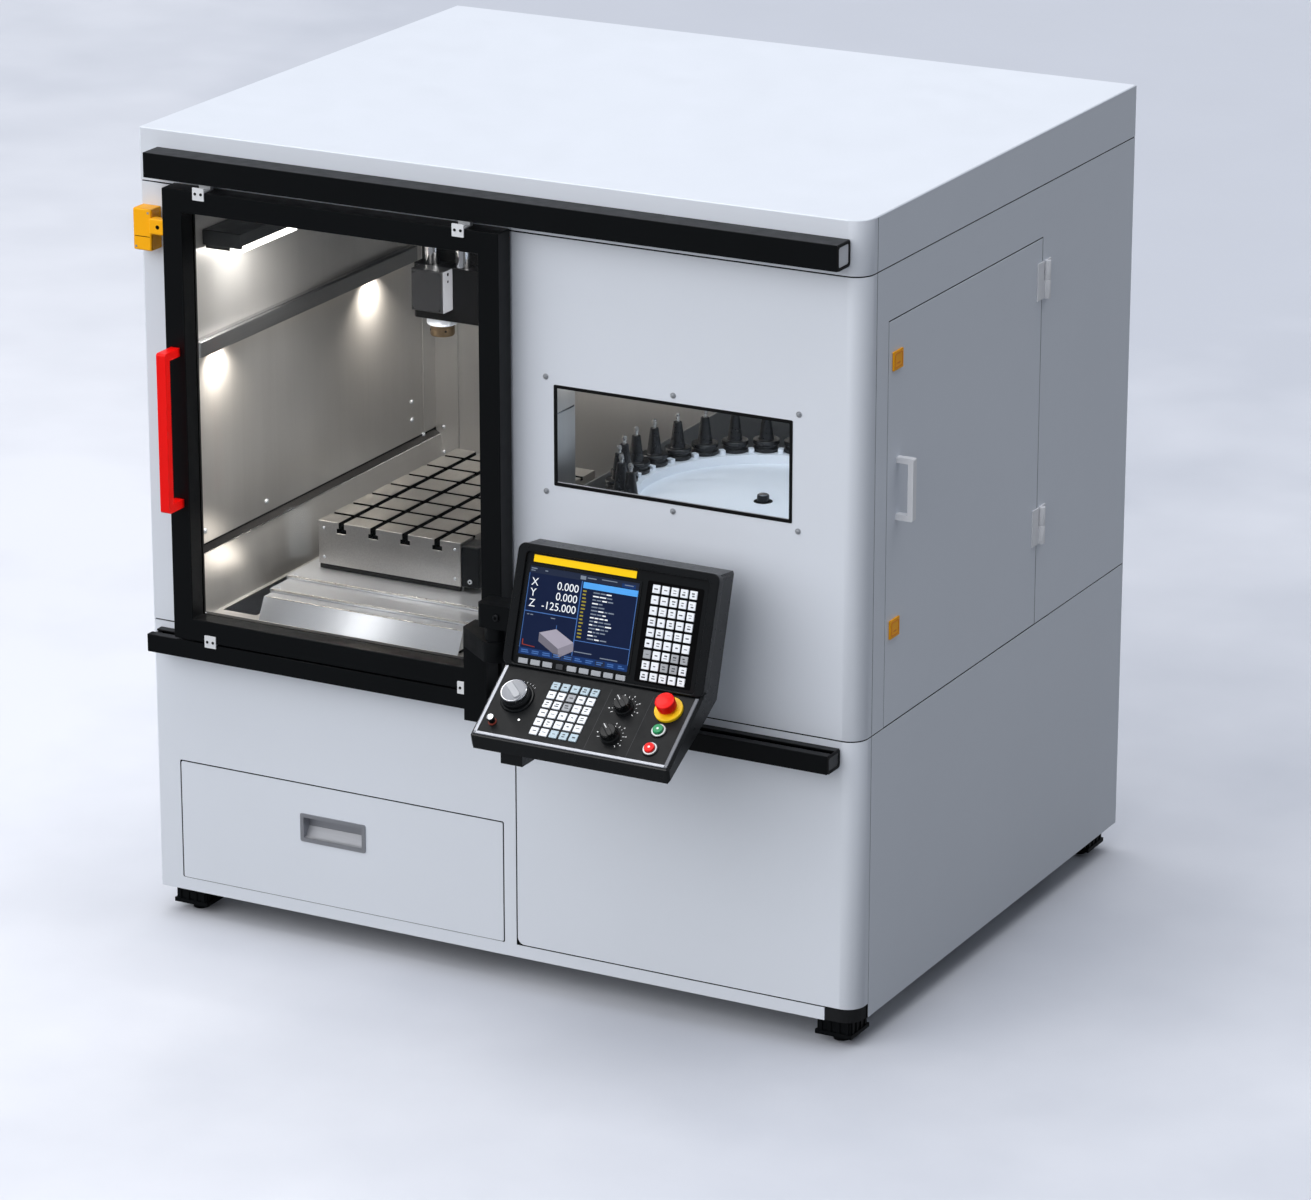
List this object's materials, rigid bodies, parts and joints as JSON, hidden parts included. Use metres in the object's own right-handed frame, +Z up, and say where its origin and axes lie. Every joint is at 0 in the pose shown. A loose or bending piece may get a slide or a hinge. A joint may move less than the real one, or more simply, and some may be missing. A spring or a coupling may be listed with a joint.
{
  "type": "cnc machining center",
  "caption": "Enclosed vertical machining centre: sliding glazed door, swivelling control pendant, T-slot table with telescopic covers, moving spindle head and rotary tool magazine.",
  "frame": {"origin": "on the floor, below the middle of the whole outline", "axes": "+Z up, the front with the door faces -Y, the service door faces +X"},
  "size_m": [1.728, 1.702, 1.76],
  "materials": {
    "cabinet_paint": "satin powder coat, cool grey-white",
    "black_metal": "satin black coat",
    "black_plastic": "moulded black",
    "red_plastic": "moulded red",
    "green_plastic": "moulded green",
    "yellow_plastic": "moulded yellow",
    "orange_plastic": "moulded orange",
    "grey_plastic": "moulded grey",
    "white_plastic": "moulded white",
    "pane": "clear",
    "stainless": "brushed sheet",
    "ground_steel": "ground",
    "iron": "painted casting",
    "bright": "bright",
    "alloy": "anodised",
    "frame_steel": "primed steel"
  },
  "bodies": {
    "machine": {"levelling_feet": "black_metal", "base_frame": "frame_steel", "roof_panel": "cabinet_paint", "front_fascia": "cabinet_paint", "front_panel": "cabinet_paint", "lower_front_panel": "cabinet_paint", "corner_panel": "cabinet_paint", "left_side_panel": "cabinet_paint", "right_side_panel": "cabinet_paint", "right_lower_panel": "cabinet_paint", "back_panel": "cabinet_paint", "tool_window": "pane", "upper_rail": "black_metal", "lower_rail": "black_metal", "rail_end_caps": "grey_plastic", "interlock_switch": "yellow_plastic", "drawer_slides": "ground_steel", "hinge_leaves_fixed": "alloy", "cabin_left_wall": "stainless", "cabin_back_wall": "stainless", "cabin_floor": "stainless", "partition_wall": "stainless", "cabin_lights": "black_plastic", "machine_bed": "iron", "crossbeam": "iron", "linear_rails": "ground_steel", "way_cover_front": "stainless", "magazine_pedestal": "iron", "pendant_arm": "black_metal"},
    "front_door": {"door_frame": "black_metal", "door_glass": "pane", "door_handle": "red_plastic", "door_hangers": "ground_steel", "interlock_key": "yellow_plastic"},
    "chip_drawer": {"chip_drawer": "cabinet_paint", "drawer_pull": "alloy"},
    "service_door": {"side_door": "cabinet_paint", "side_door_handle": "grey_plastic", "latch_pads": "orange_plastic", "hinge_leaves_moving": "alloy"},
    "table": {"table": "ground_steel", "way_cover_rear": "stainless"},
    "middle_cover": {"way_cover_middle": "stainless"},
    "carriage": {"x_carriage": "iron"},
    "head": {"spindle_head": "iron", "head_cover": "black_metal", "spindle_drive": "bright"},
    "spindle": {"spindle_nose": "ground_steel"},
    "magazine": {"magazine_disc": "white_plastic", "tool_holders": "ground_steel"},
    "pendant": {"pendant_housing": "black_plastic", "pendant_keys": "white_plastic", "control_bezels": "black_plastic", "pendant_bracket": "black_metal"},
    "handwheel": {"handwheel": "alloy"},
    "upper_selector": {"upper_selector": "black_plastic"},
    "lower_selector": {"lower_selector": "black_plastic"},
    "emergency_stop": {"emergency_stop": "red_plastic"},
    "start_button": {"start_button": "green_plastic"},
    "stop_button": {"stop_button": "red_plastic"}
  },
  "joints": [
    {"name": "front_door_slide", "type": "slide", "parent": "machine", "child": "front_door", "axis": [1, 0, 0], "range_m": [0, 0.7]},
    {"name": "drawer_slide", "type": "slide", "parent": "machine", "child": "chip_drawer", "axis": [0, -1, 0], "range_m": [0, 0.5]},
    {"name": "service_door_hinge", "type": "hinge", "parent": "machine", "child": "service_door", "pos_m": [0.833, 0.386, 0.6765], "axis": [0, 0, 1], "range_deg": [0, 110]},
    {"name": "table_y", "type": "slide", "parent": "machine", "child": "table", "axis": [0, 1, 0], "range_m": [-0.1, 0.1]},
    {"name": "middle_cover_y", "type": "slide", "parent": "machine", "child": "middle_cover", "axis": [0, 1, 0], "range_m": [-0.05, 0.05]},
    {"name": "carriage_x", "type": "slide", "parent": "machine", "child": "carriage", "axis": [1, 0, 0], "range_m": [-0.14, 0.65]},
    {"name": "head_z", "type": "slide", "parent": "carriage", "child": "head", "axis": [0, 0, 1], "range_m": [-0.15, 0.1]},
    {"name": "spindle_spin", "type": "hinge", "parent": "head", "child": "spindle", "pos_m": [-0.451, 0.061, 1.276], "axis": [0, 0, 1], "continuous": true},
    {"name": "magazine_spin", "type": "hinge", "parent": "machine", "child": "magazine", "pos_m": [0.417, -0.109, 1.02614], "axis": [0, 0, 1], "continuous": true},
    {"name": "pendant_swivel", "type": "hinge", "parent": "machine", "child": "pendant", "pos_m": [0.071, -0.629, 0.855], "axis": [0, 0, 1], "range_deg": [-70, 0]},
    {"name": "handwheel_turn", "type": "hinge", "parent": "pendant", "child": "handwheel", "pos_m": [0.19868, -0.76721, 0.75956], "axis": [0, -0.5921, 0.8059], "continuous": true},
    {"name": "upper_selector_turn", "type": "hinge", "parent": "pendant", "child": "upper_selector", "pos_m": [0.43379, -0.74957, 0.77252], "axis": [0, -0.5921, 0.8059], "range_deg": [-135, 135]},
    {"name": "lower_selector_turn", "type": "hinge", "parent": "pendant", "child": "lower_selector", "pos_m": [0.43379, -0.8069, 0.7304], "axis": [0, -0.5921, 0.8059], "range_deg": [-135, 135]},
    {"name": "emergency_stop_push", "type": "slide", "parent": "pendant", "child": "emergency_stop", "axis": [0, 0.5921, -0.8059], "range_m": [0, 0.006]},
    {"name": "start_push", "type": "slide", "parent": "pendant", "child": "start_button", "axis": [0, 0.5921, -0.8059], "range_m": [0, 0.004], "stiffness_N_per_m": 1000, "springref_m": -0.001},
    {"name": "stop_push", "type": "slide", "parent": "pendant", "child": "stop_button", "axis": [0, 0.5921, -0.8059], "range_m": [0, 0.004], "stiffness_N_per_m": 1000, "springref_m": -0.001}
  ],
  "couplings": [
    {"joint": "middle_cover_y", "follows": "table_y", "ratio": 0.5}
  ]
}
